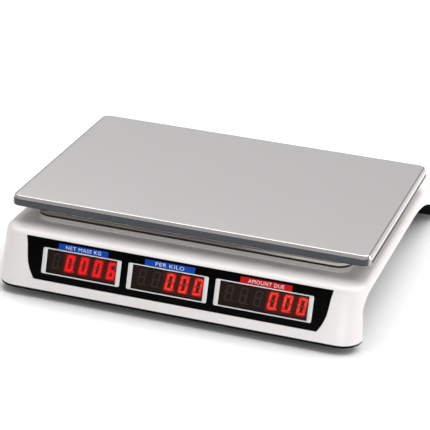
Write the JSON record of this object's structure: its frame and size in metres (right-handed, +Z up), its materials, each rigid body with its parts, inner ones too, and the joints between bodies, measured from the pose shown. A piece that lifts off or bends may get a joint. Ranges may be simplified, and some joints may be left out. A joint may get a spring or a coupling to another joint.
{
  "type": "price computing scale",
  "caption": "Low counter scale with a flat lift-off steel pan, a digit display facing the customer and a sloping console with display and keypad behind.",
  "frame": {"origin": "middle of the housing on the surface the feet stand on", "axes": "+Z up, -Y towards the customer display, +Y towards the operator console, +X to the right of a person reading the customer display"},
  "size_m": [0.3438, 0.3555, 0.082],
  "materials": {
    "white_abs": "satin moulded",
    "black_abs": "fine textured",
    "stainless": "satin brushed",
    "cast_aluminium": "cast",
    "black_acrylic": "high gloss",
    "circuit_board": "solder mask",
    "grey_plastic": "fine textured",
    "switch_black": "gloss",
    "battery_case": "matte",
    "level_green": "clear",
    "rubber": "matte",
    "steel_fastener": "zinc plated",
    "led_module": "tinted",
    "key_plastic": "fine textured"
  },
  "bodies": {
    "housing": {"housing_cover": "white_abs", "base_tray": "black_abs", "pan_support": "cast_aluminium", "load_cell": "cast_aluminium", "load_cell_spacer": "cast_aluminium", "customer_panel": "black_acrylic", "operator_panel": "black_acrylic", "customer_display_board": "circuit_board", "operator_board": "circuit_board", "main_board": "circuit_board", "keypad_bezel": "grey_plastic", "power_inlet": "black_abs", "switch_body": "black_abs", "battery": "battery_case", "level_vial": "level_green", "support_pad_1": "rubber", "support_pad_2": "rubber", "support_pad_3": "rubber", "support_pad_4": "rubber", "lower_cell_bolt_1": "steel_fastener", "upper_cell_bolt_1": "steel_fastener", "lower_cell_bolt_2": "steel_fastener", "upper_cell_bolt_2": "steel_fastener", "customer_digits_left": "led_module", "customer_digits_middle": "led_module", "customer_digits_right": "led_module", "operator_digits_left": "led_module", "operator_digits_middle": "led_module", "operator_digits_right": "led_module", "cover_screw_front_left": "steel_fastener", "cover_screw_front_right": "steel_fastener", "cover_screw_rear_left": "steel_fastener", "cover_screw_rear_right": "steel_fastener"},
    "pan": {"weighing_pan": "stainless"},
    "battery_door": {"battery_door": "black_abs"},
    "rocker": {"switch_rocker": "switch_black"},
    "key_01": {"key_01": "key_plastic"},
    "key_02": {"key_02": "key_plastic"},
    "key_03": {"key_03": "key_plastic"},
    "key_04": {"key_04": "key_plastic"},
    "key_05": {"key_05": "key_plastic"},
    "key_06": {"key_06": "key_plastic"},
    "key_07": {"key_07": "key_plastic"},
    "key_08": {"key_08": "key_plastic"},
    "key_09": {"key_09": "key_plastic"},
    "key_10": {"key_10": "key_plastic"},
    "key_11": {"key_11": "key_plastic"},
    "key_12": {"key_12": "key_plastic"},
    "key_13": {"key_13": "key_plastic"},
    "key_14": {"key_14": "key_plastic"},
    "key_15": {"key_15": "key_plastic"},
    "key_16": {"key_16": "key_plastic"},
    "key_17": {"key_17": "key_plastic"},
    "key_18": {"key_18": "key_plastic"},
    "key_19": {"key_19": "key_plastic"},
    "key_20": {"key_20": "key_plastic"},
    "foot_front_left": {"foot_front_left": "rubber"},
    "foot_front_right": {"foot_front_right": "rubber"},
    "foot_rear_left": {"foot_rear_left": "rubber"},
    "foot_rear_right": {"foot_rear_right": "rubber"}
  },
  "joints": [
    {"name": "pan_lift", "type": "slide", "parent": "housing", "child": "pan", "axis": [0, 0, 1], "range_m": [0, 0.06]},
    {"name": "battery_door_swing", "type": "hinge", "parent": "housing", "child": "battery_door", "pos_m": [-0.062, 0.107, 0.0065], "axis": [1, 0, 0], "range_deg": [0, 100]},
    {"name": "power_rocker", "type": "hinge", "parent": "housing", "child": "rocker", "pos_m": [0.055, 0.1743, 0.021], "axis": [0, 0, 1], "range_deg": [0, 18]},
    {"name": "key_01_press", "type": "slide", "parent": "housing", "child": "key_01", "axis": [0, -0.4617, -0.887], "range_m": [0, 0.001], "stiffness_N_per_m": 600},
    {"name": "key_02_press", "type": "slide", "parent": "housing", "child": "key_02", "axis": [0, -0.4617, -0.887], "range_m": [0, 0.001], "stiffness_N_per_m": 600},
    {"name": "key_03_press", "type": "slide", "parent": "housing", "child": "key_03", "axis": [0, -0.4617, -0.887], "range_m": [0, 0.001], "stiffness_N_per_m": 600},
    {"name": "key_04_press", "type": "slide", "parent": "housing", "child": "key_04", "axis": [0, -0.4617, -0.887], "range_m": [0, 0.001], "stiffness_N_per_m": 600},
    {"name": "key_05_press", "type": "slide", "parent": "housing", "child": "key_05", "axis": [0, -0.4617, -0.887], "range_m": [0, 0.001], "stiffness_N_per_m": 600},
    {"name": "key_06_press", "type": "slide", "parent": "housing", "child": "key_06", "axis": [0, -0.4617, -0.887], "range_m": [0, 0.001], "stiffness_N_per_m": 600},
    {"name": "key_07_press", "type": "slide", "parent": "housing", "child": "key_07", "axis": [0, -0.4617, -0.887], "range_m": [0, 0.001], "stiffness_N_per_m": 600},
    {"name": "key_08_press", "type": "slide", "parent": "housing", "child": "key_08", "axis": [0, -0.4617, -0.887], "range_m": [0, 0.001], "stiffness_N_per_m": 600},
    {"name": "key_09_press", "type": "slide", "parent": "housing", "child": "key_09", "axis": [0, -0.4617, -0.887], "range_m": [0, 0.001], "stiffness_N_per_m": 600},
    {"name": "key_10_press", "type": "slide", "parent": "housing", "child": "key_10", "axis": [0, -0.4617, -0.887], "range_m": [0, 0.001], "stiffness_N_per_m": 600},
    {"name": "key_11_press", "type": "slide", "parent": "housing", "child": "key_11", "axis": [0, -0.4617, -0.887], "range_m": [0, 0.001], "stiffness_N_per_m": 600},
    {"name": "key_12_press", "type": "slide", "parent": "housing", "child": "key_12", "axis": [0, -0.4617, -0.887], "range_m": [0, 0.001], "stiffness_N_per_m": 600},
    {"name": "key_13_press", "type": "slide", "parent": "housing", "child": "key_13", "axis": [0, -0.4617, -0.887], "range_m": [0, 0.001], "stiffness_N_per_m": 600},
    {"name": "key_14_press", "type": "slide", "parent": "housing", "child": "key_14", "axis": [0, -0.4617, -0.887], "range_m": [0, 0.001], "stiffness_N_per_m": 600},
    {"name": "key_15_press", "type": "slide", "parent": "housing", "child": "key_15", "axis": [0, -0.4617, -0.887], "range_m": [0, 0.001], "stiffness_N_per_m": 600},
    {"name": "key_16_press", "type": "slide", "parent": "housing", "child": "key_16", "axis": [0, -0.4617, -0.887], "range_m": [0, 0.001], "stiffness_N_per_m": 600},
    {"name": "key_17_press", "type": "slide", "parent": "housing", "child": "key_17", "axis": [0, -0.4617, -0.887], "range_m": [0, 0.001], "stiffness_N_per_m": 600},
    {"name": "key_18_press", "type": "slide", "parent": "housing", "child": "key_18", "axis": [0, -0.4617, -0.887], "range_m": [0, 0.001], "stiffness_N_per_m": 600},
    {"name": "key_19_press", "type": "slide", "parent": "housing", "child": "key_19", "axis": [0, -0.4617, -0.887], "range_m": [0, 0.001], "stiffness_N_per_m": 600},
    {"name": "key_20_press", "type": "slide", "parent": "housing", "child": "key_20", "axis": [0, -0.4617, -0.887], "range_m": [0, 0.001], "stiffness_N_per_m": 600},
    {"name": "foot_front_left_height", "type": "slide", "parent": "housing", "child": "foot_front_left", "axis": [0, 0, -1], "range_m": [-0.001, 0.006]},
    {"name": "foot_front_right_height", "type": "slide", "parent": "housing", "child": "foot_front_right", "axis": [0, 0, -1], "range_m": [-0.001, 0.006]},
    {"name": "foot_rear_left_height", "type": "slide", "parent": "housing", "child": "foot_rear_left", "axis": [0, 0, -1], "range_m": [-0.001, 0.006]},
    {"name": "foot_rear_right_height", "type": "slide", "parent": "housing", "child": "foot_rear_right", "axis": [0, 0, -1], "range_m": [-0.001, 0.006]}
  ]
}
